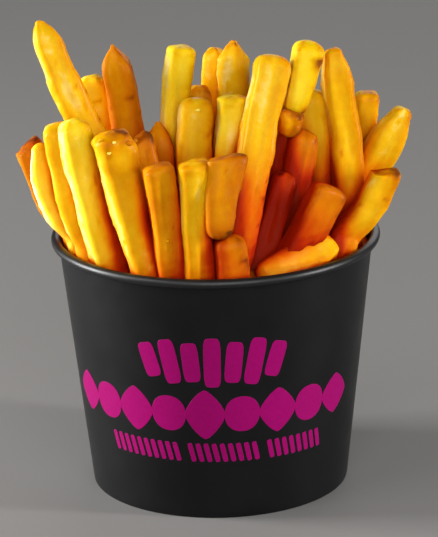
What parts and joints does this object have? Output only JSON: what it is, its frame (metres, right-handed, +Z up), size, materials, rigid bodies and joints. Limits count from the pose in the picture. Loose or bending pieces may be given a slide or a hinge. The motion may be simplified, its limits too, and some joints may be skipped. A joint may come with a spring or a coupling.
{
  "type": "french fries in a paper cup",
  "caption": "Round black paper cup heaped with thick-cut french fries that stand upright above its rolled rim.",
  "frame": {"origin": "on the table in the middle of the part's outline, which is the cup's axis", "axes": "+Z up along the cup's axis, -Y towards the printed side that is usually shown"},
  "size_m": [0.1177, 0.098, 0.145],
  "materials": {
    "cup_paper": "matte black coated paperboard",
    "cup_print": "flat magenta ink on coated paperboard",
    "fried_potato": "deep-fried potato with an oily sheen"
  },
  "bodies": {
    "root": {"cup_wall": "cup_paper", "cup_base": "cup_paper", "fries": "fried_potato"}
  },
  "joints": []
}
